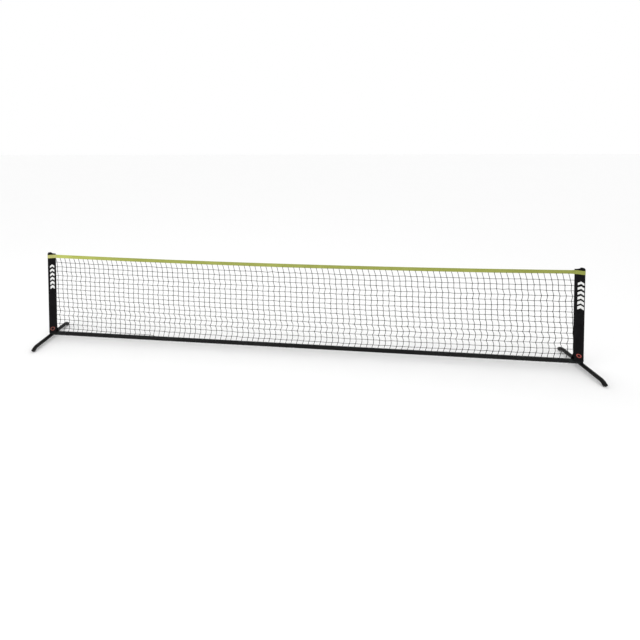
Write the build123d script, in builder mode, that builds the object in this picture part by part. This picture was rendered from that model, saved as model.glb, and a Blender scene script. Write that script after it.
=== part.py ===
from build123d import *
import math
import os

# Portable pickleball net: two bent tube feet, a four-piece floor bar between them,
# two posts that slip over spigots on the feet, and a knotted net hung between the posts
# on fabric sleeves and a top tape. Millimetres, +X along the net, +Z up, -Y the front.

# --- driving dimensions ---------------------------------------------------------------
POST_X = 2670.0            # post axis, either side of the middle
TUBE_R = 19.0              # every 38 mm tube, outside
WALL = 1.5
BORE_R = TUBE_R - WALL
FIT = 0.05                 # radial clearance of a tube end that slides into another
MALE_R = BORE_R - FIT
MALE_BORE_R = MALE_R - WALL

FOOT_Z = 35.0              # axis of the straight part of a foot
FOOT_BEND_R = 80.0
TIP_ANGLE = 32.0           # slope of the tips below horizontal
TIP_END_Y = 295.0          # middle of a foot cap's outer face
CAP_FLANGE = 6.0
CAP_PLUG = 15.0
CAP_ROUND = 1.2
CAP_TREAD = 2.5            # how much is trimmed off a cap's heel, to stand flat on the floor
PLUG_FIT = 0.1             # radial clearance of a plastic plug in a tube

BAR_Z = 55.0
SOCKET_REACH = 115.0       # post axis to the open end of a bar socket
SEAMS = (-1160.0, -20.0, 1320.0)   # open ends of the bar tubes, left to right
MALE_LENGTH = 80.0
SEAM_GAP = 2.5             # neck left showing at a seam
SEAM_TAPER = 5.0
COLLAR_TOP = 81.0
SPIGOT_TOP = 181.0
SPIGOT_CHAMFER = 1.0

BUTTON_R = 4.0
BUTTON_HOLE_R = 4.2
BUTTON_PROUD = 4.0         # how far a button stands out of the outer tube
BUTTON_ROUND = 3.2
BUTTON_FLANGE_R = 5.5
BUTTON_FLANGE = 1.0
CLIP_FRONT = 13.9          # front leg of the clip, from the tube axis
CLIP_BACK = 15.2           # back leg, bearing on the inner tube's wall
CLIP_STRIP = 0.6
CLIP_WIDTH = 9.0
CLIP_LEG = 42.0            # button to the start of the round bend
CLIP_TIP = 7.0             # button to the free tip of the front leg

POST_TOP = 934.0
POST_CAP_RIM = 3.0
POST_CAP_DOME = 9.0
POST_CAP_PLUG = 20.0
SLEEVE_BOTTOM = 65.0
SLEEVE_TOP = 935.0
SLEEVE_R = 21.4            # outside of the fabric round the post
SLEEVE_BORE_R = 19.6
SEAM_X = 50.0              # sewn seam that closes the pocket, from the post axis
SEAM_R = 2.6               # outside of the pocket where it closes
SEAM_BORE_R = 0.8
SEAM_BORE_X = 48.0         # where the inside of the pocket closes
SLEEVE_EDGE = 69.0         # net edge of the sleeve, from the post axis
EDGE_BAND = 24.0           # flat sewn edge between the pocket and the net
EDGE_THICK = 3.2
SKIRT_TOP = 81.0           # below this the two layers part and straddle the bar
SKIRT_GAP = 20.0
SKIRT_CLOTH = 1.4

TAPE_TOP = 923.0           # at the posts
TAPE_HEIGHT = 36.0
TAPE_SAG = 24.0            # how much lower it hangs in the middle
TAPE_THICK = 2.4           # both layers together
WRAP_X = 67.5              # where an end of the tape closes round the sleeve, from the post axis
WRAP_PLY = 1.8
WRAP_AIR = 0.4             # between the wrap and the sleeve
WRAP_CLOSE_R = 2.2         # inside of the wrap where it closes
HEADLINE_R = 2.5
HEADLINE_AIR = 0.3         # round the cord in the tape's fold
CHANNEL_END = 6.0          # the fold is sewn shut over this length
NET_THICK = 1.0
NET_AIR = 0.5              # from the net's edge to the tape and the sleeves
NET_BOTTOM = 75.5          # just clear of the floor bar
OVERLAP = 1.0              # how far joined solids run into each other

SIDES = (("left", -1), ("right", 1))

os.makedirs("parts", exist_ok=True)


def save(part, name):
    part.label = name
    export_step(part, f"parts/{name}.step")


# --- feet -----------------------------------------------------------------------------
tip_slope = math.radians(TIP_ANGLE)
tip_end_z = TUBE_R * math.cos(tip_slope) - CAP_TREAD
foot_corner_y = TIP_END_Y - (FOOT_Z - tip_end_z) / math.tan(tip_slope)
tube_end_y = TIP_END_Y - CAP_FLANGE * math.cos(tip_slope)
tube_end_z = tip_end_z + CAP_FLANGE * math.sin(tip_slope)


def foot_tube(x, name):
    """Round tube, straight under the post, both tips bent down and cut square."""
    with BuildPart() as foot:
        with BuildLine() as axis:
            FilletPolyline(
                (x, -tube_end_y, tube_end_z),
                (x, -foot_corner_y, FOOT_Z),
                (x, foot_corner_y, FOOT_Z),
                (x, tube_end_y, tube_end_z),
                radius=FOOT_BEND_R,
            )
        with BuildSketch(Plane(origin=axis.line @ 0, z_dir=axis.line % 0)):
            Circle(TUBE_R)
            Circle(BORE_R, mode=Mode.SUBTRACT)
        sweep()
    save(foot.part, name)


def foot_cap(x, end, name):
    """Plastic plug in a tip: a round flange trimmed flat on its heel, and a stem inside."""
    outward = (0, end * math.cos(tip_slope), -math.sin(tip_slope))
    tube_end = Plane(origin=(x, end * tube_end_y, tube_end_z), z_dir=outward)
    with BuildPart() as cap:
        with BuildSketch(tube_end):
            Circle(TUBE_R)
        extrude(amount=CAP_FLANGE)
        fillet(cap.faces().sort_by(Axis(tube_end.origin, outward))[-1].edges(), CAP_ROUND)
        with BuildSketch(tube_end):
            Circle(BORE_R - PLUG_FIT)
        extrude(amount=-CAP_PLUG)
        split(bisect_by=Plane.XY, keep=Keep.TOP)
    save(cap.part, name)


# --- welded fittings on each foot -----------------------------------------------------
def foot_cutter(x):
    """Outside of the foot's straight part, to cope the fittings that are welded to it."""
    return Pos(x, 0, FOOT_Z) * Rot(90, 0, 0) * Cylinder(TUBE_R, 6 * TUBE_R)


def post_spigot(x, name):
    """Upright tube welded to the foot; the post slips down over it."""
    foot_outside = foot_cutter(x)
    with BuildPart() as spigot:
        with BuildSketch(Plane.XY.offset(FOOT_Z)):
            with Locations((x, 0)):
                Circle(MALE_R)
                Circle(MALE_BORE_R, mode=Mode.SUBTRACT)
        extrude(amount=SPIGOT_TOP - FOOT_Z)
        add(foot_outside, mode=Mode.SUBTRACT)
        chamfer(spigot.edges().group_by(Axis.Z)[-1].sort_by(SortBy.RADIUS)[-1], SPIGOT_CHAMFER)
    save(spigot.part, name)


def spigot_collar(x, name):
    """Ring round the spigot's foot that the post stands on."""
    foot_outside = foot_cutter(x)
    start = FOOT_Z + TUBE_R / 3
    with BuildPart() as collar:
        with BuildSketch(Plane.XY.offset(start)):
            with Locations((x, 0)):
                Circle(TUBE_R)
                Circle(MALE_R, mode=Mode.SUBTRACT)
        extrude(amount=COLLAR_TOP - start)
        add(foot_outside, mode=Mode.SUBTRACT)
    save(collar.part, name)


def bar_socket(side, name):
    """Short level tube, coped to the collar and the foot, that takes the bar's end."""
    x = side * POST_X
    foot_outside = foot_cutter(x)
    collar_outside = Pos(x, 0, BAR_Z) * Cylinder(TUBE_R, 4 * TUBE_R)
    hole_x = side * (POST_X - SOCKET_REACH + MALE_LENGTH / 2)
    with BuildPart() as socket:
        with BuildSketch(Plane.YZ.offset(side * (POST_X - SOCKET_REACH))):
            with Locations((0, BAR_Z)):
                Circle(TUBE_R)
                Circle(BORE_R, mode=Mode.SUBTRACT)
        extrude(amount=side * SOCKET_REACH)
        add(foot_outside, mode=Mode.SUBTRACT)
        add(collar_outside, mode=Mode.SUBTRACT)
        with BuildSketch(Plane.XZ):
            with Locations((hole_x, BAR_Z)):
                Circle(BUTTON_HOLE_R)
        extrude(amount=2 * TUBE_R, mode=Mode.SUBTRACT)
    save(max(socket.part.solids(), key=lambda s: s.volume), name)


# --- floor bar ------------------------------------------------------------------------
def bar_tube(left_seam, right_end, male_right, name):
    """One tube of the bar: a narrowed end on the left, an open or narrowed end on the right."""
    neck_left = left_seam + SEAM_GAP
    body_left = neck_left + SEAM_TAPER
    holes = [left_seam - MALE_LENGTH / 2]
    outside = [
        (left_seam - MALE_LENGTH, MALE_R),
        (neck_left, MALE_R),
        (body_left, TUBE_R),
    ]
    inside = [(body_left, BORE_R), (neck_left, MALE_BORE_R), (left_seam - MALE_LENGTH, MALE_BORE_R)]
    if male_right:
        neck_right = right_end - SEAM_GAP
        body_right = neck_right - SEAM_TAPER
        tip = right_end + MALE_LENGTH
        outside += [(body_right, TUBE_R), (neck_right, MALE_R), (tip, MALE_R)]
        inside = [(tip, MALE_BORE_R), (neck_right, MALE_BORE_R), (body_right, BORE_R)] + inside
        holes.append(right_end + MALE_LENGTH / 2)
    else:
        outside.append((right_end, TUBE_R))
        inside = [(right_end, BORE_R)] + inside
        holes.append(right_end - MALE_LENGTH / 2)
    outline = [(x, BAR_Z + r) for x, r in outside + inside]
    with BuildPart() as tube:
        with BuildSketch(Plane.XZ):
            with BuildLine():
                Polyline(*outline, close=True)
            make_face()
        revolve(axis=Axis((0, 0, BAR_Z), (1, 0, 0)))
        with BuildSketch(Plane.XZ):
            with Locations(*[(x, BAR_Z) for x in holes]):
                Circle(BUTTON_HOLE_R)
        extrude(amount=2 * TUBE_R, mode=Mode.SUBTRACT)
    save(tube.part, name)


def snap_button(x, name):
    """Domed pin that locks two tube ends together, with the flange that keeps it in."""
    stem_start = CLIP_FRONT + BUTTON_FLANGE
    stem_end = TUBE_R + BUTTON_PROUD
    with BuildPart() as button:
        with BuildSketch(Plane.XZ.offset(CLIP_FRONT)):
            with Locations((x, BAR_Z)):
                Circle(BUTTON_FLANGE_R)
        extrude(amount=BUTTON_FLANGE)
        with BuildSketch(Plane.XZ.offset(stem_start)):
            with Locations((x, BAR_Z)):
                Circle(BUTTON_R)
        extrude(amount=stem_end - stem_start)
        fillet(button.edges().group_by(Axis.Y)[0], BUTTON_ROUND)
    save(button.part, name)


def spring_clip(x, away, name):
    """Bent strip inside the tube that pushes the button out: two legs and a round bend."""
    front = -CLIP_FRONT
    back = CLIP_BACK
    bend_x = x + away * CLIP_LEG
    tip_x = x - away * CLIP_TIP
    middle = (front + back) / 2
    half = (back - front) / 2
    with BuildPart() as clip:
        with BuildSketch(Plane.XY.offset(BAR_Z - CLIP_WIDTH / 2)):
            with BuildLine():
                Line((tip_x, front), (bend_x, front))
                ThreePointArc((bend_x, front), (bend_x + away * half, middle), (bend_x, back))
                Line((bend_x, back), (tip_x, back))
                Line((tip_x, back), (tip_x, back - CLIP_STRIP))
                Line((tip_x, back - CLIP_STRIP), (bend_x, back - CLIP_STRIP))
                ThreePointArc(
                    (bend_x, back - CLIP_STRIP),
                    (bend_x + away * (half - CLIP_STRIP), middle),
                    (bend_x, front + CLIP_STRIP),
                )
                Line((bend_x, front + CLIP_STRIP), (tip_x, front + CLIP_STRIP))
                Line((tip_x, front + CLIP_STRIP), (tip_x, front))
            make_face()
        extrude(amount=CLIP_WIDTH)
    save(clip.part, name)


# --- posts ----------------------------------------------------------------------------
def post_tube(x, name):
    with BuildPart() as post:
        with BuildSketch(Plane.XY.offset(COLLAR_TOP)):
            with Locations((x, 0)):
                Circle(TUBE_R)
                Circle(BORE_R, mode=Mode.SUBTRACT)
        extrude(amount=POST_TOP - COLLAR_TOP)
    save(post.part, name)


def post_cap(x, name):
    """Domed plug in the top of the post."""
    with BuildPart() as cap:
        with BuildSketch(Plane.XY.offset(POST_TOP)):
            with Locations((x, 0)):
                Circle(TUBE_R)
        extrude(amount=POST_CAP_RIM + POST_CAP_DOME)
        fillet(cap.edges().group_by(Axis.Z)[-1], POST_CAP_DOME)
        with BuildSketch(Plane.XY.offset(POST_TOP)):
            with Locations((x, 0)):
                Circle(BORE_R - PLUG_FIT)
        extrude(amount=-POST_CAP_PLUG)
    save(cap.part, name)


# --- fabric ---------------------------------------------------------------------------
def pocket_outline(side, post_r, edge_r, edge_x):
    """Sketch of a pocket round the post, drawn tight to a small circle near the net."""
    with BuildSketch(mode=Mode.PRIVATE) as pocket:
        with Locations((side * POST_X, 0)):
            Circle(post_r)
        with Locations((side * (POST_X - edge_x), 0)):
            Circle(edge_r)
        make_hull()
    return pocket.sketch


def sleeve(side, name):
    """Fabric pocket over the post with a flat sewn edge that the net hangs from."""
    x = side * POST_X
    edge_x = x - side * (SLEEVE_EDGE - EDGE_BAND / 2)
    skirt_x = x - side * SLEEVE_EDGE / 2
    open_reach = SLEEVE_EDGE + 2 * OVERLAP
    with BuildPart() as fabric:
        with BuildSketch(Plane.XY.offset(SKIRT_TOP)):
            add(pocket_outline(side, SLEEVE_R, SEAM_R, SEAM_X))
            with Locations((edge_x, 0)):
                Rectangle(EDGE_BAND, EDGE_THICK)
            add(pocket_outline(side, SLEEVE_BORE_R, SEAM_BORE_R, SEAM_BORE_X), mode=Mode.SUBTRACT)
        extrude(amount=SLEEVE_TOP - SKIRT_TOP)
        with BuildSketch(Plane.XY.offset(SLEEVE_BOTTOM)):
            with Locations((x, 0)):
                Circle(SKIRT_GAP + SKIRT_CLOTH)
            with Locations((skirt_x, 0)):
                Rectangle(SLEEVE_EDGE, 2 * (SKIRT_GAP + SKIRT_CLOTH))
            with Locations((x, 0)):
                Circle(SKIRT_GAP, mode=Mode.SUBTRACT)
            with Locations((skirt_x - side * OVERLAP, 0)):
                Rectangle(open_reach, 2 * SKIRT_GAP, mode=Mode.SUBTRACT)
        extrude(amount=SKIRT_TOP - SLEEVE_BOTTOM + OVERLAP)
    save(fabric.part, name)


def hung_band(reach, top, height):
    """Outline of a band between the posts whose two long edges sag alike."""
    bottom = top - height
    with BuildSketch(mode=Mode.PRIVATE) as band:
        with BuildLine():
            ThreePointArc((-reach, top), (0, top - TAPE_SAG), (reach, top))
            Line((reach, top), (reach, bottom))
            ThreePointArc((reach, bottom), (0, bottom - TAPE_SAG), (-reach, bottom))
            Line((-reach, bottom), (-reach, top))
        make_face()
    return band.sketch


def top_tape(name):
    """Tape folded over the headline, with an end that wraps round each sleeve."""
    reach = POST_X - SLEEVE_EDGE - OVERLAP
    fold = TAPE_THICK / 2
    channel = 2 * (HEADLINE_R + HEADLINE_AIR)
    fold_height = channel + 2 * fold
    tape_outline = hung_band(reach, TAPE_TOP, TAPE_HEIGHT)
    fold_outline = hung_band(reach, TAPE_TOP, fold_height)
    channel_outline = hung_band(reach - CHANNEL_END, TAPE_TOP - fold, channel)
    inside_r = SLEEVE_R + WRAP_AIR
    outside_r = inside_r + WRAP_PLY
    close_outside_r = WRAP_CLOSE_R + WRAP_PLY
    wraps = [pocket_outline(side, outside_r, close_outside_r, WRAP_X) for _, side in SIDES]
    sleeves = [pocket_outline(side, inside_r, WRAP_CLOSE_R, WRAP_X) for _, side in SIDES]
    with BuildPart() as tape:
        with BuildSketch(Plane.XZ):
            add(tape_outline)
        extrude(amount=fold, both=True)
        with BuildSketch(Plane.XZ):
            add(fold_outline)
        extrude(amount=fold_height / 2, both=True)
        with BuildSketch(Plane.XZ):
            add(channel_outline)
        extrude(amount=channel / 2, both=True, mode=Mode.SUBTRACT)
        with BuildSketch(Plane.XY.offset(TAPE_TOP - TAPE_HEIGHT)):
            add(wraps)
            add(sleeves, mode=Mode.SUBTRACT)
        extrude(amount=TAPE_HEIGHT)
    save(tape.part, name)


def headline_cord(name):
    reach = POST_X - SLEEVE_EDGE - CHANNEL_END - HEADLINE_R
    height = TAPE_TOP - TAPE_THICK / 2 - HEADLINE_R - HEADLINE_AIR
    with BuildPart() as cord:
        with BuildLine() as hang:
            ThreePointArc((-reach, 0, height), (0, 0, height - TAPE_SAG), (reach, 0, height))
        with BuildSketch(Plane(origin=hang.line @ 0, z_dir=hang.line % 0)):
            Circle(HEADLINE_R)
        sweep()
    save(cord.part, name)


def net_panel(name):
    """The plane that the knotted net fills."""
    top = TAPE_TOP - TAPE_HEIGHT - NET_AIR
    reach = POST_X - SLEEVE_EDGE - NET_AIR
    with BuildPart() as net:
        with BuildSketch(Plane.XZ):
            with BuildLine():
                ThreePointArc((-reach, top), (0, top - TAPE_SAG), (reach, top))
                Polyline((reach, top), (reach, NET_BOTTOM), (-reach, NET_BOTTOM), (-reach, top))
            make_face()
        extrude(amount=NET_THICK / 2, both=True)
    save(net.part, name)


# --- build ----------------------------------------------------------------------------
for side_name, side in SIDES:
    post_x = side * POST_X
    foot_tube(post_x, f"{side_name}_foot_tube")
    foot_cap(post_x, -1, f"{side_name}_front_foot_cap")
    foot_cap(post_x, 1, f"{side_name}_back_foot_cap")
    post_spigot(post_x, f"{side_name}_post_spigot")
    spigot_collar(post_x, f"{side_name}_spigot_collar")
    bar_socket(side, f"{side_name}_bar_socket")
    post_tube(post_x, f"{side_name}_post_tube")
    post_cap(post_x, f"{side_name}_post_cap")
    sleeve(side, f"{side_name}_sleeve")

socket_end = POST_X - SOCKET_REACH
bar_starts = (-socket_end,) + SEAMS
bar_ends = SEAMS + (socket_end,)
bar_names = ("left_end_bar", "left_middle_bar", "right_middle_bar", "right_end_bar")
for start, end, name in zip(bar_starts, bar_ends, bar_names):
    bar_tube(start, end, name == "right_end_bar", name)

button_places = {
    "left_socket": -socket_end - MALE_LENGTH / 2,
    "left": SEAMS[0] - MALE_LENGTH / 2,
    "middle": SEAMS[1] - MALE_LENGTH / 2,
    "right": SEAMS[2] - MALE_LENGTH / 2,
    "right_socket": socket_end + MALE_LENGTH / 2,
}
for place, x in button_places.items():
    snap_button(x, f"{place}_snap_button")
    spring_clip(x, -1 if place == "right_socket" else 1, f"{place}_spring_clip")

top_tape("top_tape")
headline_cord("headline_cord")
net_panel("net_panel")
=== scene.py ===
import math

import bmesh
import bpy
import numpy as np
from mathutils import Matrix, Vector


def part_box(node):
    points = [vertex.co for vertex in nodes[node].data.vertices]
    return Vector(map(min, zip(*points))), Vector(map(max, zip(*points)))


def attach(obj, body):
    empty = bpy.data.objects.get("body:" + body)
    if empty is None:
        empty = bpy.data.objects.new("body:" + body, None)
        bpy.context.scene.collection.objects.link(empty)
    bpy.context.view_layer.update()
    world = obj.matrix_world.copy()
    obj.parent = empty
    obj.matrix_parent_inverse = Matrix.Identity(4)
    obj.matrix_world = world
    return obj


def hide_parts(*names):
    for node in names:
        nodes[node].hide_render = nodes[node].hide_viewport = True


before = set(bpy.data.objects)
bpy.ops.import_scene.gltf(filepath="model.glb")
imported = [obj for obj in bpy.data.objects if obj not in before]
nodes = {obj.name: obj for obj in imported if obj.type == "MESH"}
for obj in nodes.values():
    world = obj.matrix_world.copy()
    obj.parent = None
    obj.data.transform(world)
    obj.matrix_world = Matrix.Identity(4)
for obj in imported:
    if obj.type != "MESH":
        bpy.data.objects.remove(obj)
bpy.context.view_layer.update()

# A portable pickleball net: black tube frame, knotted twine net, lime top tape and cloth
# sleeves over the posts. Metres, +X along the net, +Z up, -Y the front.

MM = 0.001
SIDES = (("left", -1), ("right", 1))

# --- what the frame gives ---------------------------------------------------------------
post_low, post_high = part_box("right_post_tube")
POST_X = (post_low.x + post_high.x) / 2
POST_R = (post_high.x - post_low.x) / 2
sleeve_low, sleeve_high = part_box("right_sleeve")
SLEEVE_BOTTOM, SLEEVE_TOP = sleeve_low.z, sleeve_high.z
SLEEVE_EDGE = POST_X - sleeve_low.x
tape_low, tape_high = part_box("top_tape")
TAPE_TOP = tape_high.z
net_low, net_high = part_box("net_panel")
NET_REACH = net_high.x
BAR_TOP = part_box("left_end_bar")[1].z
foot_low, foot_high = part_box("left_foot_tube")
FOOT_AXIS_Z = foot_high.z - POST_R
BAR_AXIS_Z = BAR_TOP - POST_R

# --- cloth, tape and net ----------------------------------------------------------------
TAPE_HEIGHT = 36 * MM
TAPE_SAG = 24 * MM
TAPE_CLOTH = 1.0 * MM
HEADLINE_LOOP = 3.4 * MM       # radius of the fold round the headline
SLEEVE_CLOTH = 1.0 * MM
SLEEVE_R = 20.5 * MM           # cloth round the post, middle of its thickness
SEAM_X = 50 * MM               # sewn seam, from the post axis
STRIP_GAP = 1.1 * MM           # half the distance between the two layers of the sewn strip
SKIRT_HALF = 20.7 * MM         # the two layers straddle the bar at this distance
SKIRT_START, SKIRT_OPEN = 135 * MM, 67 * MM


def corners(grid):
    """The four entries round each cell of a grid, as one row of four for each cell."""
    return np.stack([grid[:-1, :-1], grid[:-1, 1:], grid[1:, 1:], grid[1:, :-1]], axis=2)


def length_along(path):
    """Distance run from the start of a path to each of its points."""
    return np.concatenate([[0], np.cumsum(np.linalg.norm(np.diff(path, axis=0), axis=1))])


def unit(vectors):
    return vectors / np.linalg.norm(vectors, axis=-1, keepdims=True)


class Shape:
    """Gathers grids of quads as arrays and makes one mesh of them."""

    def __init__(self):
        self.points, self.quads, self.uvs, self.caps, self.count = [], [], [], [], 0

    def grid(self, points, uv, wrap=False, capped=False):
        """points is rows x columns x 3, uv is rows x columns (one more where it wraps) x 2."""
        rows, columns = points.shape[:2]
        index = np.arange(rows * columns).reshape(rows, columns)
        if wrap:
            index = np.concatenate([index, index[:, :1]], axis=1)
        self.quads.append(corners(index).reshape(-1, 4) + self.count)
        self.uvs.append(corners(uv).reshape(-1, 2))
        if capped:
            self.caps += [index[0, :columns][::-1] + self.count, index[-1, :columns] + self.count]
        self.points.append(points.reshape(-1, 3))
        self.count += rows * columns

    def tube(self, path, radius, sides, across=(0, 1, 0), capped=True):
        """Round tube along a path; across is a direction that the path never follows."""
        path = np.asarray(path, float)
        along = unit(np.gradient(path, axis=0))
        first = unit(np.cross(along, across))
        second = np.cross(along, first)
        turn = np.arange(sides) * 2 * math.pi / sides
        radius = np.broadcast_to(radius, (len(path),))[:, None, None]
        ring = first[:, None] * np.cos(turn)[:, None] + second[:, None] * np.sin(turn)[:, None]
        run = length_along(path)
        uv = np.stack(np.meshgrid(run, np.arange(sides + 1) / sides, indexing="ij"), axis=2)
        self.grid(path[:, None] + radius * ring, uv, wrap=True, capped=capped)

    def copies(self, quads, uvs, places):
        """One small closed shape, repeated: places is n x points x 3."""
        n, size = places.shape[:2]
        shift = self.count + size * np.arange(n)[:, None, None]
        self.quads.append((quads[None] + shift).reshape(-1, 4))
        self.uvs.append(np.tile(uvs, (n, 1)))
        self.points.append(places.reshape(-1, 3))
        self.count += n * size

    def piece(self, name, body, slot, material, sharp=50, weld=False):
        mesh = bpy.data.meshes.new(name)
        quads = np.concatenate(self.quads)
        faces = quads.tolist() + [cap.tolist() for cap in self.caps]
        mesh.from_pydata(np.concatenate(self.points).tolist(), [], faces)
        uv = np.zeros((len(mesh.loops), 2))
        flat = np.concatenate(self.uvs)
        uv[: len(flat)] = flat
        mesh.uv_layers.new(name=CLOTH_UV).data.foreach_set("uv", uv.ravel())
        if weld:
            work = bmesh.new()
            work.from_mesh(mesh)
            bmesh.ops.remove_doubles(work, verts=work.verts, dist=0.005 * MM)
            bmesh.ops.recalc_face_normals(work, faces=work.faces)
            work.to_mesh(mesh)
            work.free()
        mesh.shade_smooth()
        mesh.set_sharp_from_angle(angle=math.radians(sharp))
        mesh.materials.append(material)
        piece = bpy.data.objects.new(name, mesh)
        bpy.context.scene.collection.objects.link(piece)
        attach(piece, body)
        return piece


CLOTH_UV = "run"


def shell(shape, middle, thickness, uv, closed=False):
    """A closed skin of the given thickness round a grid of points on its middle surface."""
    down = np.gradient(middle, axis=0)
    if closed:
        ring = np.concatenate([middle[:, -1:], middle, middle[:, :1]], axis=1)
        across = np.gradient(ring, axis=1)[:, 1:-1]
    else:
        across = np.gradient(middle, axis=1)
    normal = unit(np.cross(across, down))
    half = np.broadcast_to(thickness, middle.shape[:2])[:, :, None] / 2
    outer, inner = middle + normal * half, middle - normal * half
    if closed:
        loop = np.concatenate([outer, inner[::-1], outer[:1]], axis=0)
        wide_uv = np.concatenate([uv, uv[::-1], uv[:1]], axis=0)
        shape.grid(loop, wide_uv, wrap=True)
        return
    skin = np.concatenate([outer, inner[:, ::-1]], axis=1)
    skin_uv = np.concatenate([uv, uv[:, ::-1], uv[:, :1]], axis=1)
    shape.grid(skin, skin_uv, wrap=True)
    columns = middle.shape[1]
    for row in (0, -1):
        edge = np.stack([outer[row], inner[row]])
        edge_uv = np.stack([uv[row], uv[row]])
        if row == -1:
            edge, edge_uv = edge[::-1], edge_uv[::-1]
        shape.grid(edge, edge_uv)


def smooth_step(t):
    t = np.clip(t, 0, 1)
    return t * t * (3 - 2 * t)


def ripple(u, v, seed, waves=7):
    """Smooth uneven surface, about -1 to 1, as a sum of slanted waves."""
    draw = np.random.RandomState(seed)
    total = 0
    for _ in range(waves):
        ku, kv, phase = draw.uniform(-1, 1), draw.uniform(0.4, 1.6), draw.uniform(0, 2 * math.pi)
        total = total + np.sin(ku * u + kv * v + phase)
    return total / math.sqrt(waves)


# --- materials --------------------------------------------------------------------------
def socket(node, name):
    return next(s for s in node.inputs if s.name == name and s.enabled)


class Look:
    """A Principled material and short ways to wire texture nodes into it."""

    def __init__(self, name, **constants):
        self.material = bpy.data.materials.new(name)
        self.material.use_nodes = True
        self.tree = self.material.node_tree
        self.shader = self.tree.nodes["Principled BSDF"]
        for key, value in constants.items():
            self.shader.inputs[key.replace("_", " ")].default_value = value
        self.coords = self.tree.nodes.new("ShaderNodeTexCoord").outputs["Object"]
        self.height = None

    def link(self, source, target):
        self.tree.links.new(source, target)

    def run(self):
        uv = self.tree.nodes.new("ShaderNodeUVMap")
        uv.uv_map = CLOTH_UV
        return uv.outputs["UV"]

    def x(self, source=None):
        split = self.tree.nodes.new("ShaderNodeSeparateXYZ")
        self.link(source or self.coords, split.inputs[0])
        return split.outputs["X"]

    def stretch(self, source, scale):
        mapping = self.tree.nodes.new("ShaderNodeMapping")
        mapping.inputs["Scale"].default_value = scale
        self.link(source, mapping.inputs["Vector"])
        return mapping.outputs["Vector"]

    def noise(self, scale, detail=2.0, source=None, rough=0.5):
        node = self.tree.nodes.new("ShaderNodeTexNoise")
        node.inputs["Scale"].default_value = scale
        node.inputs["Detail"].default_value = detail
        node.inputs["Roughness"].default_value = rough
        self.link(source or self.coords, node.inputs["Vector"])
        return node.outputs["Fac"]

    def wave(self, source, axis, scale, bend=0.0):
        node = self.tree.nodes.new("ShaderNodeTexWave")
        node.bands_direction = axis
        node.inputs["Scale"].default_value = scale
        node.inputs["Distortion"].default_value = bend
        self.link(source, node.inputs["Vector"])
        return node.outputs["Fac"]

    def math(self, operation, first, second):
        node = self.tree.nodes.new("ShaderNodeMath")
        node.operation = operation
        for slot, value in zip(node.inputs, (first, second)):
            if isinstance(value, (int, float)):
                slot.default_value = value
            else:
                self.link(value, slot)
        return node.outputs[0]

    def spread(self, source, low, high, to_low=0.0, to_high=1.0):
        node = self.tree.nodes.new("ShaderNodeMapRange")
        node.interpolation_type = "SMOOTHSTEP"
        limits = {"From Min": low, "From Max": high, "To Min": to_low, "To Max": to_high}
        for key, value in limits.items():
            node.inputs[key].default_value = value
        self.link(source, node.inputs["Value"])
        return node.outputs["Result"]

    def mix(self, factor, first, second):
        node = self.tree.nodes.new("ShaderNodeMix")
        node.data_type = "RGBA"
        self.link(factor, socket(node, "Factor"))
        for key, value in (("A", first), ("B", second)):
            if isinstance(value, tuple):
                socket(node, key).default_value = (*value, 1)
            else:
                self.link(value, socket(node, key))
        return next(s for s in node.outputs if s.enabled)

    def colour(self, source):
        self.link(source, self.shader.inputs["Base Color"])

    def roughness(self, source):
        self.link(source, self.shader.inputs["Roughness"])

    def bump(self, source, distance, strength=1.0):
        node = self.tree.nodes.new("ShaderNodeBump")
        node.inputs["Distance"].default_value = distance
        node.inputs["Strength"].default_value = strength
        self.link(source, node.inputs["Height"])
        if self.height is not None:
            self.link(self.height, node.inputs["Normal"])
        self.height = node.outputs["Normal"]
        self.link(self.height, self.shader.inputs["Normal"])


def powder_coat(name, dark, light, rough=0.31, scuff=0.3):
    """Baked powder coat: fine orange peel, cloudy tone, faint long scuffs."""
    look = Look(name, Specular_IOR_Level=0.15)
    cloud = look.spread(look.noise(7, 3), 0.35, 0.7)
    base = look.mix(cloud, dark, light)
    streaks = look.noise(30, 5, look.stretch(look.coords, (0.25, 2.5, 2.5)))
    scuffs = look.spread(streaks, 0.62, 0.78, 0, scuff)
    worn = tuple(3.0 * c for c in light)
    look.colour(look.mix(scuffs, base, worn))
    look.roughness(look.spread(look.noise(45, 4), 0.3, 0.7, rough - 0.07, rough + 0.1))
    look.bump(look.noise(700, 2), 0.12 * MM, 0.5)
    return look.material


def moulded(name, dark, light, rough=0.5):
    """Moulded plastic: fine spark-eroded grain and slightly uneven gloss."""
    look = Look(name, Specular_IOR_Level=0.12)
    look.colour(look.mix(look.spread(look.noise(25, 3), 0.3, 0.7), dark, light))
    look.roughness(look.spread(look.noise(90, 3), 0.3, 0.7, rough - 0.08, rough + 0.12))
    look.bump(look.noise(1500, 3), 0.1 * MM, 0.5)
    return look.material


def plated(name, tone, rough):
    """Plated steel with fine drawing lines."""
    look = Look(name, Metallic=1.0)
    lines = look.noise(220, 3, look.stretch(look.coords, (1, 12, 12)))
    look.colour(look.mix(look.spread(lines, 0.3, 0.7), tuple(0.7 * c for c in tone), tone))
    look.roughness(look.spread(look.noise(150, 3), 0.3, 0.7, rough, rough + 0.15))
    look.bump(lines, 0.05 * MM, 0.5)
    return look.material


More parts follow.
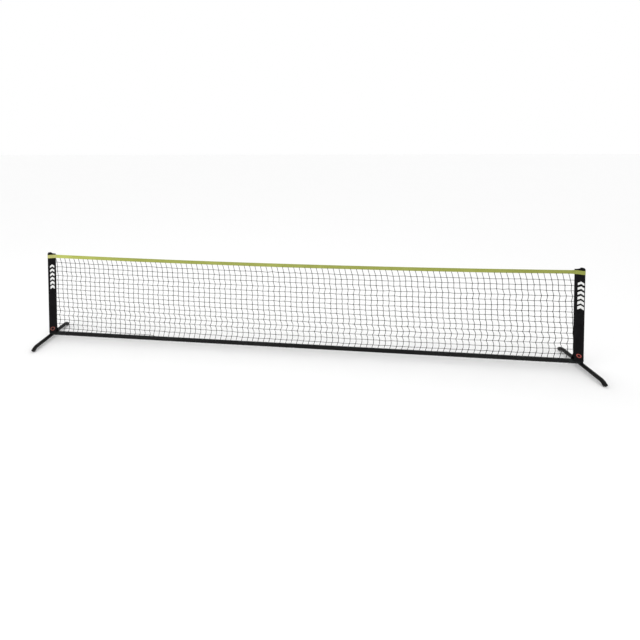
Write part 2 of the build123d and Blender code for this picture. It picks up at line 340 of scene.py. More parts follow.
def woven(name, dark, light, pitch, rough=0.85, relief=0.35, cloud_size=14, specular=0.2, faded=()):
    """Plain weave that follows the cloth: raised crossings, cloudy tone and soft creases.

    Each entry of faded is (x where it starts, x where it is full, strength of the tone there); it
    paints light and shade along x, lighter where the strength is above 1 and darker where it is
    below 1.
    """
    look = Look(name, Specular_IOR_Level=specular)
    run = look.run()
    # a wave texture of scale s has 20 s / (2 pi) bands in each unit of length
    density = 2 * math.pi / (20 * pitch)
    warp = look.wave(run, "X", density)
    weft = look.wave(run, "Y", density)
    half_warp, half_weft = look.wave(run, "X", density / 2), look.wave(run, "Y", density / 2)
    crossing = [look.math("SUBTRACT", half, 0.5) for half in (half_warp, half_weft)]
    over = look.math("LESS_THAN", look.math("MULTIPLY", *crossing), 0.0)
    under = look.math("SUBTRACT", 1.0, over)
    threads = look.math("ADD", look.math("MULTIPLY", warp, over),
                        look.math("MULTIPLY", weft, under))
    cloud = look.spread(look.noise(cloud_size, 4), 0.3, 0.72)
    tone = look.math("ADD", look.math("MULTIPLY", threads, 0.45),
                     look.math("MULTIPLY", cloud, 0.55))
    cover = look.mix(tone, dark, light)
    # painted light and shade: the cloth's tone is scaled up or down along x
    for start, full, strength in faded:
        worn = [tuple(strength * c for c in shade) for shade in (dark, light)]
        cover = look.mix(look.spread(look.x(), start, full), cover, look.mix(tone, *worn))
    look.colour(cover)
    look.roughness(look.spread(look.noise(60, 3), 0.3, 0.7, rough - 0.06, min(rough + 0.08, 1)))
    look.bump(look.noise(55, 4), 0.5 * MM, 0.5)
    look.bump(threads, relief * pitch, 0.6)
    return look.material


def ink(name, dark, light):
    """Screen print on cloth: slightly uneven cover with the cloth's grain showing."""
    look = Look(name, Specular_IOR_Level=0.3)
    run = look.run()
    look.colour(look.mix(look.spread(look.noise(260, 4), 0.3, 0.62), dark, light))
    look.roughness(look.spread(look.noise(120, 3), 0.3, 0.7, 0.55, 0.75))
    grain = look.math("ADD", look.wave(run, "X", 260), look.wave(run, "Y", 260))
    look.bump(grain, 0.15 * MM, 0.5)
    return look.material


def twisted(name, dark, light, radius, lays=1.4, rough=0.7, specular=0.1):
    """Laid twine: slanted plies along the run, with fuzz."""
    look = Look(name, Specular_IOR_Level=specular)
    slant = look.stretch(look.run(), (1 / (lays * 2 * radius), 1, 1))
    joined = look.tree.nodes.new("ShaderNodeSeparateXYZ")
    look.link(slant, joined.inputs[0])
    turn = look.math("ADD", joined.outputs["X"], joined.outputs["Y"])
    plies = look.math("SINE", look.math("MULTIPLY", turn, 6 * math.pi), 0.0)
    raised = look.math("ADD", look.math("MULTIPLY", plies, 0.5), 0.5)
    fuzz = look.noise(900, 3)
    tone = look.math("ADD", look.math("MULTIPLY", raised, 0.6), look.math("MULTIPLY", fuzz, 0.4))
    look.colour(look.mix(tone, dark, light))
    look.roughness(look.spread(fuzz, 0.3, 0.7, rough - 0.1, rough + 0.12))
    look.bump(raised, 0.3 * radius, 0.7)
    return look.material


BLACK_STEEL = powder_coat("black_powder_coat", (0.0025, 0.0025, 0.0026), (0.005, 0.005, 0.0052))
BAR_STEEL = powder_coat("bar_powder_coat", (0.0032, 0.0034, 0.0036), (0.0065, 0.0068, 0.007), 0.26)
WORN_BAR_STEEL = powder_coat("darker_bar_powder_coat", (0.0022, 0.0022, 0.0022),
                             (0.0045, 0.0045, 0.0045), 0.36)
SOCKET_STEEL = powder_coat("socket_powder_coat", (0.007, 0.009, 0.0085), (0.014, 0.017, 0.016),
                           0.32)
WELD_STEEL = powder_coat("coated_weld", (0.0025, 0.0025, 0.0025), (0.006, 0.006, 0.006), 0.4)
CAP_PLASTIC = moulded("black_rubber_cap", (0.002, 0.002, 0.002), (0.0045, 0.0045, 0.0045), 0.6)
POST_CAP_PLASTIC = moulded("black_post_cap", (0.0011, 0.0011, 0.0012), (0.0023, 0.0023, 0.0025),
                           0.42)
BUTTON_STEEL = plated("black_oxide", (0.035, 0.034, 0.033), 0.35)
CLIP_STEEL = plated("spring_strip", (0.35, 0.35, 0.37), 0.3)
SLEEVE_CLOTH_LOOK = woven("black_oxford_cloth", (0.0035, 0.0032, 0.0037), (0.0095, 0.0087, 0.010),
                          1.3 * MM, 0.8, specular=0.08)
# the tape's tone is painted lighter towards its left end and darker towards its right end: painted
# light and shade
TAPE_LOOK = woven("lime_tape_cloth", (0.295, 0.323, 0.066), (0.385, 0.42, 0.11),
                  0.9 * MM, 0.62, 0.25,
                  cloud_size=5, specular=0.15, faded=((-1.5, -2.6, 1.38), (1.2, 2.5, 0.89)))
# the left tape wrap gets a paler copy of the tape cloth, a painted highlight; the right wrap keeps
# the tape cloth itself
WRAP_LOOK = woven("lime_cloth_painted_highlight", (0.44, 0.435, 0.145), (0.56, 0.55, 0.23), 0.9 * MM, 0.6, 0.25,
                  cloud_size=9, specular=0.15)
WRAP_LOOKS = {"left": WRAP_LOOK, "right": TAPE_LOOK}
WHITE_INK = ink("white_ink", (0.70, 0.70, 0.69), (0.88, 0.88, 0.87))
RED_INK = ink("red_ink", (0.26, 0.045, 0.035), (0.40, 0.075, 0.06))
BROWN_INK = ink("brown_ink", (0.13, 0.04, 0.03), (0.22, 0.065, 0.05))
TWINE_R = 2.55 * MM
CROSS_TWINE_R = 2.25 * MM
TWINE_LOOK = twisted("black_twine", (0.006, 0.006, 0.006), (0.022, 0.021, 0.021), TWINE_R)
HEADLINE_LOOK = twisted("braided_headline", (0.35, 0.35, 0.33), (0.62, 0.62, 0.58), 2.5 * MM, 1.2)
BLACK_THREAD = twisted("black_thread", (0.010, 0.010, 0.010), (0.035, 0.034, 0.034), 0.4 * MM)
LIME_THREAD = twisted("lime_thread", (0.50, 0.52, 0.12), (0.66, 0.68, 0.26), 0.4 * MM)

CAD_LOOKS = {
    "foot_tube": BLACK_STEEL,
    "foot_cap": CAP_PLASTIC,
    "post_spigot": BLACK_STEEL,
    "spigot_collar": BLACK_STEEL,
    "bar_socket": SOCKET_STEEL,
    "bar": BAR_STEEL,
    "post_tube": BLACK_STEEL,
    "post_cap": POST_CAP_PLASTIC,
    "snap_button": BUTTON_STEEL,
    "spring_clip": CLIP_STEEL,
    "headline_cord": HEADLINE_LOOK,
}
for name, node in nodes.items():
    for ending, material in CAD_LOOKS.items():
        if name.endswith(ending):
            node.data.materials.clear()
            node.data.materials.append(material)
# the right middle bar gets a darker, rougher coat than the other bars
nodes["right_middle_bar"].data.materials[0] = WORN_BAR_STEEL


# --- sleeves ----------------------------------------------------------------------------
tangent_angle = math.atan2(STRIP_GAP, SEAM_X) + math.acos(SLEEVE_R / math.hypot(SEAM_X, STRIP_GAP))
tangent_point = (SLEEVE_R * math.cos(tangent_angle), SLEEVE_R * math.sin(tangent_angle))
STRIP_WIDTH = SLEEVE_EDGE - SEAM_X
PANEL_WIDTH = math.hypot(SEAM_X - tangent_point[0], tangent_point[1] - STRIP_GAP)
HALF_ROUND = STRIP_WIDTH + PANEL_WIDTH + SLEEVE_R * (math.pi - tangent_angle)


def sleeve_point(side, w, z, off=0.0, seed=3):
    """Point on the sleeve: w runs from the front net edge round the post to the back net edge."""
    w, z = np.broadcast_arrays(np.asarray(w, float), np.asarray(z, float))
    facing = np.where(w < HALF_ROUND, -1.0, 1.0)
    d = np.minimum(w, 2 * HALF_ROUND - w)
    across = np.clip((d - STRIP_WIDTH) / PANEL_WIDTH, 0, 1)
    angle = tangent_angle + np.maximum(d - STRIP_WIDTH - PANEL_WIDTH, 0) / SLEEVE_R
    on_strip, on_panel = d < STRIP_WIDTH, d < STRIP_WIDTH + PANEL_WIDTH
    shut_x = np.where(on_strip, SLEEVE_EDGE - d,
                      np.where(on_panel, SEAM_X + (tangent_point[0] - SEAM_X) * across,
                               SLEEVE_R * np.cos(angle)))
    shut_y = np.where(on_strip, STRIP_GAP,
                      np.where(on_panel, STRIP_GAP + (tangent_point[1] - STRIP_GAP) * across,
                               SLEEVE_R * np.sin(angle)))
    round_share = np.clip((d - SLEEVE_EDGE) / (HALF_ROUND - SLEEVE_EDGE), 0, 1)
    open_angle = math.pi / 2 * (1 + round_share)
    open_x = np.where(d < SLEEVE_EDGE, SLEEVE_EDGE - d, SKIRT_HALF * np.cos(open_angle))
    open_y = np.where(d < SLEEVE_EDGE, SKIRT_HALF, SKIRT_HALF * np.sin(open_angle))
    opened = smooth_step((SKIRT_START - z) / (SKIRT_START - SKIRT_OPEN))
    x = shut_x + (open_x - shut_x) * opened
    y = shut_y + (open_y - shut_y) * opened
    free = np.sin(math.pi * across) * (1 - 0.6 * opened)
    crease = ripple(30 * w, 55 * z, seed + side) + 0.6 * ripple(45 * w, 170 * z, seed + 5 + side)
    y = y + free * (0.7 * crease + 0.4) * MM
    low_edge = 1.2 * MM * ripple(0 * w, 40 * z, seed + 9 + side) * np.clip((0.5 - z) / 0.4, 0, 1)
    x = x + np.where(d < STRIP_WIDTH, low_edge * (1 - d / STRIP_WIDTH), 0)
    scale = (np.hypot(x, y) + off) / np.hypot(x, y)
    lift = np.where(on_panel, 1.0, scale)
    push = np.where(on_panel, off, 0.0)
    return np.stack([side * POST_X - side * x * lift, facing * (y * lift + push), z], axis=-1)


def sleeve(side_name, side):
    columns = np.concatenate([
        np.linspace(0, STRIP_WIDTH, 7),
        np.linspace(STRIP_WIDTH, HALF_ROUND, 27)[1:],
        np.linspace(HALF_ROUND, 2 * HALF_ROUND - STRIP_WIDTH, 27)[1:],
        np.linspace(2 * HALF_ROUND - STRIP_WIDTH, 2 * HALF_ROUND, 7)[1:],
    ])
    rows = np.concatenate([
        np.linspace(SLEEVE_BOTTOM, SKIRT_START, 26),
        np.linspace(SKIRT_START, SLEEVE_TOP, 150)[1:],
    ])
    w, z = np.meshgrid(columns, rows)
    middle = sleeve_point(side, w, z)
    if side > 0:
        middle = middle[:, ::-1]
    hem = np.clip(1 - np.minimum(z - SLEEVE_BOTTOM, SLEEVE_TOP - z) / (12 * MM), 0, 1) > 0
    thickness = SLEEVE_CLOTH * np.where(hem, 1.5, 1.0)
    shape = Shape()
    shell(shape, middle, thickness, np.stack([w, z], axis=2))
    piece = shape.piece(f"{side_name}_sleeve_cloth", "net_assembly", "sleeve_fabric",
                        SLEEVE_CLOTH_LOOK, weld=True)
    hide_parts(f"{side_name}_sleeve")
    return piece


STITCH_R, STITCH_LENGTH, STITCH_PITCH = 0.42 * MM, 3.5 * MM, 4.6 * MM


def stitch_rows(shape, lines, radius=STITCH_R):
    """Short arched stitches. A line is n x 3 points on the cloth and n x 3 outward directions."""
    rings, sides = 5, 5
    for points, outward in lines:
        run = length_along(points)
        starts = np.arange(0.5 * MM, run[-1] - STITCH_LENGTH, STITCH_PITCH)
        along = np.linspace(0, 1, rings)
        where = starts[:, None] + along[None] * STITCH_LENGTH
        spine = np.stack([np.interp(where, run, points[:, i]) for i in range(3)], axis=-1)
        out = np.stack([np.interp(where, run, outward[:, i]) for i in range(3)], axis=-1)
        out = unit(out)
        spine = spine + out * ((np.sin(math.pi * along) - 0.45) * radius)[None, :, None]
        ahead = unit(np.gradient(spine, axis=1))
        sideways = np.cross(ahead, out)
        turn = np.arange(sides) * 2 * math.pi / sides
        girth = radius * np.array([0.55, 0.95, 1.0, 0.95, 0.55])
        ring = (sideways[:, :, None] * np.cos(turn)[:, None]
                + out[:, :, None] * np.sin(turn)[:, None])
        places = spine[:, :, None] + ring * girth[None, :, None, None]
        index = np.arange(rings * sides).reshape(rings, sides)
        index = np.concatenate([index, index[:, :1]], axis=1)
        quads = corners(index).reshape(-1, 4)
        girth_run = np.arange(sides + 1) / sides
        uv = np.stack(np.meshgrid(along * STITCH_LENGTH, girth_run, indexing="ij"), axis=2)
        shape.copies(quads, corners(uv).reshape(-1, 2), places.reshape(len(starts), -1, 3))


def on_sleeve(side, w, z):
    """Points on the sleeve's outside and the outward direction there."""
    outside = SLEEVE_CLOTH / 2
    base = sleeve_point(side, w, z, outside)
    return base, sleeve_point(side, w, z, outside + MM) - base


def sleeve_stitching(side_name, side):
    heights = np.linspace(SLEEVE_BOTTOM + 4 * MM, SLEEVE_TOP - 4 * MM, 400)
    lines = []
    for d in (2.5 * MM, STRIP_WIDTH - 3 * MM, STRIP_WIDTH + 1 * MM):
        lines += [on_sleeve(side, np.full_like(heights, w), heights)
                  for w in (d, 2 * HALF_ROUND - d)]
    around = np.linspace(3 * MM, 2 * HALF_ROUND - 3 * MM, 300)
    for height in (SLEEVE_BOTTOM + 11 * MM, SLEEVE_TOP - 4 * MM):
        lines.append(on_sleeve(side, around, np.full_like(around, height)))
    shape = Shape()
    stitch_rows(shape, lines)
    return shape.piece(f"{side_name}_sleeve_stitching", "net_assembly", "sleeve_fabric",
                       BLACK_THREAD)


def film(shape, side, corners_w, corners_z, thick=0.35 * MM):
    """A printed patch that lies on the sleeve: grids of w and z, raised just off the cloth."""
    lifted = sleeve_point(side, corners_w, corners_z, SLEEVE_CLOTH / 2 + thick / 2)
    if side > 0:
        lifted, corners_w, corners_z = lifted[:, ::-1], corners_w[:, ::-1], corners_z[:, ::-1]
    shell(shape, lifted, thick, np.stack([corners_w, corners_z], axis=2))


def chevrons(side_name, side, near, far, low, high):
    """Plain stacked chevrons, a stand-in for a printed mark."""
    count, slope = 6, 16 * MM
    pitch = (high - low - slope) / (count - 0.45)
    shape = Shape()
    for i in range(count):
        thick = pitch * (0.62 - 0.03 * i)
        middle = (near + far) / 2
        w = np.linspace(near, far, 25)
        peak = slope * (1 - np.abs(w - middle) / ((far - near) / 2))
        rows = np.linspace(0, thick, 7)
        z = low + i * pitch + peak[None] + rows[:, None]
        film(shape, side, np.broadcast_to(w, z.shape), z)
    return shape.piece(f"{side_name}_sleeve_chevrons", "net_assembly", "sleeve_fabric", WHITE_INK,
                       weld=True)


def ring_print(side_name, side, centre_w, centre_z, half_wide, half_high, look):
    """Plain thick ring printed near the hem."""
    turn = np.linspace(0, 2 * math.pi, 49)
    share = np.linspace(0.58, 1.0, 6)
    w = centre_w + half_wide * share[:, None] * np.cos(turn)[None]
    z = centre_z + half_high * share[:, None] * np.sin(turn)[None]
    shape = Shape()
    film(shape, side, w[:, ::-1], z[:, ::-1])
    return shape.piece(f"{side_name}_sleeve_ring", "net_assembly", "sleeve_fabric", look, weld=True)


# near edge, far edge, bottom and top of the chevrons; middle, half sizes and ink of the ring
PRINTS = {
    "left": (19 * MM, 60 * MM, 547 * MM, 821 * MM),
    "right": (27 * MM, 76 * MM, 553 * MM, 825 * MM),
}
RINGS = {
    "left": (45 * MM, 110 * MM, 24 * MM, 20 * MM, BROWN_INK),
    "right": (45 * MM, 115 * MM, 20 * MM, 17 * MM, RED_INK),
}
for side_name, side in SIDES:
    cloth = sleeve(side_name, side)
    extras = [
        sleeve_stitching(side_name, side),
        chevrons(side_name, side, *PRINTS[side_name]),
        ring_print(side_name, side, *RINGS[side_name]),
    ]


# --- top tape ---------------------------------------------------------------------------
TAPE_REACH = NET_REACH
LOOP_BOTTOM = math.radians(-50)


def tape_top(x):
    return TAPE_TOP - TAPE_SAG * (1 - (x / TAPE_REACH) ** 2)


def tape_section():
    """Half of the folded section, bottom edge to top, as distances (out, down) from its top."""
    flat = np.stack([np.full(9, 0.65 * MM),
                     np.linspace(TAPE_HEIGHT - 0.5 * MM, 12 * MM, 9)], axis=1)
    turn = np.linspace(LOOP_BOTTOM, math.pi / 2, 12)
    centre = HEADLINE_LOOP + TAPE_CLOTH / 2
    loop = np.stack([HEADLINE_LOOP * np.cos(turn), centre - HEADLINE_LOOP * np.sin(turn)], axis=1)
    t = np.linspace(0, 1, 6)[1:-1, None]
    neck = flat[-1] + (loop[0] - flat[-1]) * t + np.array([[-0.5, 0.0]]) * MM * np.sin(math.pi * t)
    return np.concatenate([flat, neck, loop])


def tape_point(x, out, down, facing):
    sway = 1.2 * MM * ripple(4 * x, 0 * x, 21) + 0.5 * MM * ripple(13 * x, 20 * down, 22)
    reach = np.clip((TAPE_REACH - np.abs(x)) / (60 * MM), 0, 1)
    share = down / TAPE_HEIGHT
    hang = 0.5 * MM * ripple(9 * x, 0 * x, 23) * share * reach
    return np.stack([x, facing * out + sway * reach * share, tape_top(x) - down + hang], axis=-1)


half = tape_section()
section = np.concatenate([half, half[-2::-1]])
facing = np.concatenate([-np.ones(len(half) - 1), [0], np.ones(len(half) - 1)])
xs = np.linspace(-TAPE_REACH, TAPE_REACH, 521)
x_grid, out_grid = np.meshgrid(xs, section[:, 0], indexing="ij")
down_grid = np.broadcast_to(section[:, 1], x_grid.shape)
facing_grid = np.broadcast_to(facing, x_grid.shape)
cloth_run = length_along(np.stack([facing * section[:, 0], section[:, 1]], 1))
shape = Shape()
uv = np.stack([x_grid, np.broadcast_to(cloth_run, x_grid.shape)], axis=2)
shell(shape, tape_point(x_grid, out_grid, down_grid, facing_grid), TAPE_CLOTH, uv)
tape = shape.piece("top_tape_cloth", "net_assembly", "tape_fabric", TAPE_LOOK, weld=True)
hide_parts("top_tape")

lines = []
stitch_x = np.linspace(-TAPE_REACH + 4 * MM, TAPE_REACH - 4 * MM, 3000)
for down in (TAPE_HEIGHT - 4 * MM, 12.5 * MM):
    for face in (-1, 1):
        level = np.full_like(stitch_x, down)
        surface = tape_point(stitch_x, 0.65 * MM + TAPE_CLOTH / 2, level, face)
        lines.append((surface, np.tile([0.0, face, 0.0], (len(stitch_x), 1))))
shape = Shape()
stitch_rows(shape, lines)
tape_stitching = shape.piece("top_tape_stitching", "net_assembly", "tape_fabric", LIME_THREAD)

WRAP_OFF = SLEEVE_CLOTH / 2 + 0.7 * MM
WRAP_LAP = 14 * MM


def wrap_point(side, w, z, off=0.0):
    """The tape's end goes round the sleeve and back along the tape, front and back."""
    lap = np.maximum(np.maximum(-w, w - 2 * HALF_ROUND), 0)
    base = sleeve_point(side, np.clip(w, 0, 2 * HALF_ROUND), z, WRAP_OFF + off)
    facing = np.where(w < HALF_ROUND, -1.0, 1.0)
    base[..., 0] -= side * lap
    out = 2.4 * MM * smooth_step((z - TAPE_TOP + 15 * MM) / (8 * MM)) * smooth_step(lap / (10 * MM))
    base[..., 1] += facing * out
    return base


for side_name, side in SIDES:
    columns = np.concatenate([np.linspace(-WRAP_LAP, 0, 6)[:-1], np.linspace(0, 2 * HALF_ROUND, 61),
                              np.linspace(2 * HALF_ROUND, 2 * HALF_ROUND + WRAP_LAP, 6)[1:]])
    rows = np.linspace(TAPE_TOP - TAPE_HEIGHT, TAPE_TOP, 13)
    w, z = np.meshgrid(columns, rows)
    middle = wrap_point(side, w, z)
    if side > 0:
        middle = middle[:, ::-1]
    shape = Shape()
    shell(shape, middle, 0.9 * MM, np.stack([w, z], axis=2))
    wrap = shape.piece(f"{side_name}_tape_wrap", "net_assembly", "tape_fabric",
                       WRAP_LOOKS[side_name], weld=True)
    lines = []
    for height in (TAPE_TOP - 3 * MM, TAPE_TOP - TAPE_HEIGHT + 3 * MM):
        along = np.linspace(-WRAP_LAP + MM, 2 * HALF_ROUND + WRAP_LAP - MM, 200)
        level = np.full_like(along, height)
        base = wrap_point(side, along, level, 0.45 * MM)
        lines.append((base, wrap_point(side, along, level, 1.45 * MM) - base))
    for along in (-WRAP_LAP + 3 * MM, STRIP_WIDTH - 4 * MM):
        for w_line in (along, 2 * HALF_ROUND - along):
            level = np.linspace(TAPE_TOP - TAPE_HEIGHT + 3 * MM, TAPE_TOP - 3 * MM, 30)
            at = np.full_like(level, w_line)
            base = wrap_point(side, at, level, 0.45 * MM)
            lines.append((base, wrap_point(side, at, level, 1.45 * MM) - base))
    shape = Shape()
    stitch_rows(shape, lines)
    thread = shape.piece(f"{side_name}_wrap_stitching", "net_assembly", "tape_fabric", LIME_THREAD)


# --- knotted net ------------------------------------------------------------------------
FIRST_COLUMN, LAST_COLUMN = -46, 47
FULL_ROWS = 16
COLUMN_START, COLUMN_PITCH = -65.8 * MM, 56.5 * MM
COLUMN_DRIFT, COLUMN_SQUEEZE = 0.0112 * MM, -0.0005 * MM
HEM_Z = net_low.z + 2.5 * MM
TAPE_TUCK = 6 * MM
STRAND_BOW = 4.0 * MM          # how far a strand bows out between two knots, low in the net
LOWEST_CELL = 235 * MM         # a strand that ends below this reaches the hem


def column_x(k):
    return COLUMN_START + COLUMN_PITCH * k + COLUMN_DRIFT * k ** 2 + COLUMN_SQUEEZE * k ** 3


def row_z(x, m):
    """Height of the m-th row of knots below the tape."""
    tape_bottom = tape_top(x) - TAPE_HEIGHT
    first = tape_bottom - 54 * MM - 2 * MM * x
    left_rise = 50 * MM * (np.maximum(1.0 - x, 0) / 3.5) ** 2
    right_rise = 4 * MM * (np.maximum(x - 1.0, 0)) ** 2
    low = 109 * MM + left_rise + right_rise
    return first + (low - first) * (m - 1) / 14


def lean(x, m):
    """How far the strands have moved to the right at row m; every other knot is pulled back."""
    total = (23 + 20 * smooth_step((x + 0.7) / 1.9)) * MM
    sway = 3.65 * np.sin(2 * math.pi * m / 8 - 1.34) + 2.8 * np.sin(2 * math.pi * m / 2.6 - 2.19)
    pulled = 3.4 * np.cos(math.pi * m) * smooth_step(m / 8)
    return total * m / 15 + (sway + pulled + 5.1 - 9 * np.exp(-m / 0.6)) * MM


def smooth_path(knots, cuts):
    """Points on a Catmull-Rom curve through the knots."""
    knots = np.asarray(knots, float)
    padded = np.concatenate([2 * knots[:1] - knots[1:2], knots, 2 * knots[-1:] - knots[-2:-1]])
    a, b, c, d = padded[:-3], padded[1:-2], padded[2:-1], padded[3:]
    t = (np.arange(cuts) / cuts)[None, :, None]
    a, b, c, d = (p[:, None] for p in (a, b, c, d))
    bend, twist = 2 * a - 5 * b + 4 * c - d, 3 * b - a - 3 * c + d
    curve = 0.5 * (2 * b + (c - a) * t + bend * t ** 2 + twist * t ** 3)
    return np.concatenate([curve.reshape(-1, 3), knots[-1:]])


draw = np.random.RandomState(11)
columns = np.arange(FIRST_COLUMN, LAST_COLUMN + 1)
levels = np.arange(1, FULL_ROWS + 1)
k_grid, m_grid = np.meshgrid(columns, levels, indexing="ij")
base_x = column_x(k_grid)
knot_x = base_x + lean(base_x, m_grid) + draw.normal(0, 1.1 * MM, base_x.shape)
knot_z = row_z(base_x, m_grid) + draw.normal(0, 1.3 * MM, base_x.shape)
knot_y = 2.0 * MM * ripple(5 * base_x, 0.7 * m_grid, 31) * (m_grid / FULL_ROWS)
knot_y = knot_y + draw.normal(0, 0.5 * MM, base_x.shape)
knots = np.stack([knot_x, knot_y, knot_z], axis=2)
EDGE = NET_REACH - 2 * MM
inside = (np.abs(knot_x) < EDGE) & (knot_z > HEM_Z + 8 * MM)

# the net is four pieces, each from one x to the next
ZONES = (
    ("left_end", -9.0, -1.3),
    ("left_middle", -1.3, 0.0),
    ("right_middle", 0.0, 1.3),
    ("right_end", 1.3, 9.0),
)
zone_shapes = {name: Shape() for name, _, _ in ZONES}


def zone_of(x):
    return zone_shapes[next(name for name, low, high in ZONES if low <= x < high)]


for i, k in enumerate(columns):
    x = column_x(k)
    top_x = x + float(lean(x, 0))
    tape_bottom = tape_top(x) - TAPE_HEIGHT
    path = [(top_x - 3 * MM, 0, tape_bottom + TAPE_TUCK), (top_x, 0, tape_bottom - 2 * MM)]
    kept = knots[i][inside[i]]
    for row, (knot, below) in enumerate(zip(kept[:-1], kept[1:]), 1):
        bow = STRAND_BOW * float(smooth_step((row - 2) / 5))
        path += [tuple(knot), tuple((knot + below) / 2 + (bow, 0, 0))]
    path.append(tuple(kept[-1]))
    if kept[-1][2] < LOWEST_CELL:
        path.append((kept[-1][0] - 10.5 * MM, 0, HEM_Z))
    else:
        path.append((EDGE + 4 * MM, 0, kept[-1][2] - 45 * MM))
    zone_of(x).tube(smooth_path(path, 3), TWINE_R, 6)

row_paths = []
for j, m in enumerate(levels):
    keep = inside[:, j]
    row = knots[keep, j]
    left = [(-NET_REACH - 4 * MM, 0, float(row_z(-NET_REACH, m)))] if keep[0] or keep[1] else []
    right = [(NET_REACH + 4 * MM, 0, float(row_z(NET_REACH, m)))] if keep[-3] else []
    if not right:
        row = np.concatenate([row, [[row[-1][0] + 60 * MM, 0, HEM_Z]]])
    row_paths.append(smooth_path([*left, *row, *right], 4))
hem_x = np.linspace(-NET_REACH - 3 * MM, NET_REACH + 3 * MM, 400)
hem = np.stack([hem_x, 0 * hem_x, HEM_Z + 0.3 * MM * ripple(20 * hem_x, 0 * hem_x, 41)], axis=1)
for path, radius in [(p, CROSS_TWINE_R) for p in row_paths] + [(hem, 2.0 * MM)]:
    for name, low, high in ZONES:
        part = path[(path[:, 0] >= low - 15 * MM) & (path[:, 0] < high)]
        if len(part) > 2:
            zone_shapes[name].tube(part, radius, 6)

# one knot, as a closed tube round a trefoil, turned a little differently at each crossing
RINGS_PER_KNOT, KNOT_SIDES = 22, 5
KNOT_SIZE, KNOT_STRAND_R, KNOT_RING_STEP = 1.45 * MM, 1.55 * MM, 1.2 * MM
t = np.arange(RINGS_PER_KNOT) * 2 * math.pi / RINGS_PER_KNOT
trefoil = [np.sin(t) + 2 * np.sin(2 * t), 0.9 * np.sin(3 * t), np.cos(t) - 2 * np.cos(2 * t)]
spine = KNOT_SIZE * np.stack(trefoil, axis=1)
ahead = unit(np.roll(spine, -1, axis=0) - np.roll(spine, 1, axis=0))
side_way = unit(np.cross(ahead, (0, 1, 0)))
up_way = np.cross(ahead, side_way)
turn = np.arange(KNOT_SIDES) * 2 * math.pi / KNOT_SIDES
ring = side_way[:, None] * np.cos(turn)[:, None] + up_way[:, None] * np.sin(turn)[:, None]
knot_shape = spine[:, None] + KNOT_STRAND_R * ring
index = np.arange(RINGS_PER_KNOT * KNOT_SIDES).reshape(RINGS_PER_KNOT, KNOT_SIDES)
index = np.concatenate([index, index[:, :1]], axis=1)
index = np.concatenate([index, index[:1]], axis=0)
knot_quads = corners(index).reshape(-1, 4)
knot_run = np.arange(RINGS_PER_KNOT + 1) * KNOT_RING_STEP
knot_girth = np.arange(KNOT_SIDES + 1) / KNOT_SIDES
uv = np.stack(np.meshgrid(knot_run, knot_girth, indexing="ij"), axis=2)
knot_uvs = corners(uv).reshape(-1, 2)
places = knots[inside]
turns = draw.uniform(-0.5, 0.5, len(places))
turns = turns + np.where(draw.uniform(size=len(places)) < 0.5, 0, math.pi)
flat_knot = knot_shape.reshape(-1, 3)
c, s = np.cos(turns)[:, None], np.sin(turns)[:, None]
turned_x = flat_knot[:, 0] * c - flat_knot[:, 2] * s
turned_z = flat_knot[:, 0] * s + flat_knot[:, 2] * c
turned = np.stack([turned_x, np.broadcast_to(flat_knot[:, 1], turned_x.shape), turned_z], axis=2)
turned = turned + places[:, None]
for name, low, high in ZONES:
    chosen = (places[:, 0] >= low) & (places[:, 0] < high)
    zone_shapes[name].copies(knot_quads, knot_uvs, turned[chosen])
    net = zone_shapes[name].piece(f"net_{name}", "net_assembly", "net_twine", TWINE_LOOK, 80)
    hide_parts("net_panel")


# --- weld beads under the skirts --------------------------------------------------------
def bead(shape, path, radius=2.0 * MM):
    """A coated weld bead: a thick line with the ripples of its passes."""
    path = np.asarray(path)
    ripples = 1 + 0.13 * np.sin(length_along(path) / (0.45 * MM) / 2)
    shape.tube(path, radius * ripples, 8, across=(0.31, 0.2, 0.93))


for side_name, side in SIDES:
    shape = Shape()
    saddle = []
    for a in np.linspace(0, 2 * math.pi, 241):
        across, y = POST_R * math.cos(a), POST_R * math.sin(a)
        saddle.append((side * POST_X + across, y, FOOT_AXIS_Z + abs(y)))
    bead(shape, saddle)
    under = []
    for a in np.linspace(-1.35, 1.35, 121):
        y = POST_R * math.sin(a)
        z = BAR_AXIS_Z - POST_R * math.cos(a)
        away = math.sqrt(max(POST_R ** 2 - (z - FOOT_AXIS_Z) ** 2, 0))
        under.append((side * (POST_X - away), y, z))
    bead(shape, under)
    shape.piece(f"{side_name}_weld_bead", "base_frame", "black_tube", WELD_STEEL)


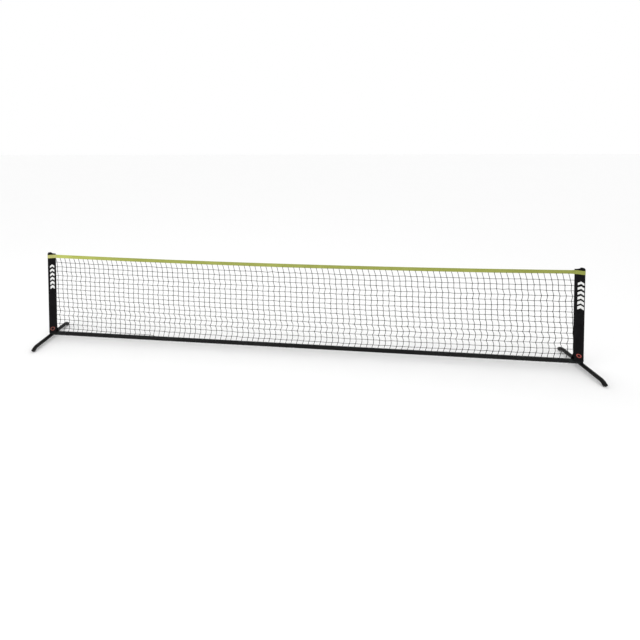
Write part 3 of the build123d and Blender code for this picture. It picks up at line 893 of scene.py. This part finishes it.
# --- floor, light and camera ------------------------------------------------------------
floor_look = Look("pale_floor", Roughness=0.9, Specular_IOR_Level=0.1)
floor_look.colour(floor_look.mix(floor_look.noise(0.6, 2), (0.965, 0.965, 0.965),
                                 (0.975, 0.975, 0.975)))
FLOOR_HALF = 60
floor_mesh = bpy.data.meshes.new("floor")
floor_mesh.from_pydata([(-FLOOR_HALF, -FLOOR_HALF, 0), (FLOOR_HALF, -FLOOR_HALF, 0),
                        (FLOOR_HALF, FLOOR_HALF, 0), (-FLOOR_HALF, FLOOR_HALF, 0)],
                       [], [(0, 1, 2, 3)])
floor_mesh.materials.append(floor_look.material)
floor = bpy.data.objects.new("floor", floor_mesh)
floor.location.z = -0.5 * MM
bpy.context.scene.collection.objects.link(floor)


def area_light(name, place, target, size, watts):
    data = bpy.data.lights.new(name, "AREA")
    data.shape = "RECTANGLE"
    data.size, data.size_y = size
    data.energy = watts
    light = bpy.data.objects.new(name, data)
    light.location = place
    light.rotation_euler = (Vector(target) - Vector(place)).to_track_quat("-Z", "Y").to_euler()
    bpy.context.scene.collection.objects.link(light)


area_light("key", (-3.0, -3.2, 4.2), (-0.8, 0, 0.4), (3.0, 0.8), 30)
area_light("top", (0.8, -1.2, 4.6), (0.6, 0, 0.4), (4.0, 0.6), 15)

world = bpy.data.worlds.new("studio")
world.use_nodes = True
world.node_tree.nodes["Background"].inputs["Color"].default_value = (1, 1, 1, 1)
world.node_tree.nodes["Background"].inputs["Strength"].default_value = 1.0
bpy.context.scene.world = world
bpy.context.scene.view_settings.view_transform = "Standard"

CAMERA_PLACE = (0.0370, -3.8495, 2.1386)
CAMERA_YAW, CAMERA_PITCH, CAMERA_ROLL = -0.11248, 0.03111, -0.00529
level_right = Vector((math.cos(CAMERA_YAW), -math.sin(CAMERA_YAW), 0))
level_ahead = Vector((math.sin(CAMERA_YAW), math.cos(CAMERA_YAW), 0))
ahead = math.cos(CAMERA_PITCH) * level_ahead - math.sin(CAMERA_PITCH) * Vector((0, 0, 1))
level_up = level_right.cross(ahead)
right = math.cos(CAMERA_ROLL) * level_right + math.sin(CAMERA_ROLL) * level_up
up = math.cos(CAMERA_ROLL) * level_up - math.sin(CAMERA_ROLL) * level_right
camera_data = bpy.data.cameras.new("camera")
camera_data.sensor_width = 36
camera_data.lens = 21.450
camera_data.shift_x, camera_data.shift_y = 0.1, -0.2596
camera_data.clip_end = 200
camera = bpy.data.objects.new("camera", camera_data)
camera_turn = Matrix((right, up, -ahead)).transposed().to_4x4()
camera.matrix_world = Matrix.Translation(CAMERA_PLACE) @ camera_turn
bpy.context.scene.collection.objects.link(camera)
bpy.context.scene.camera = camera
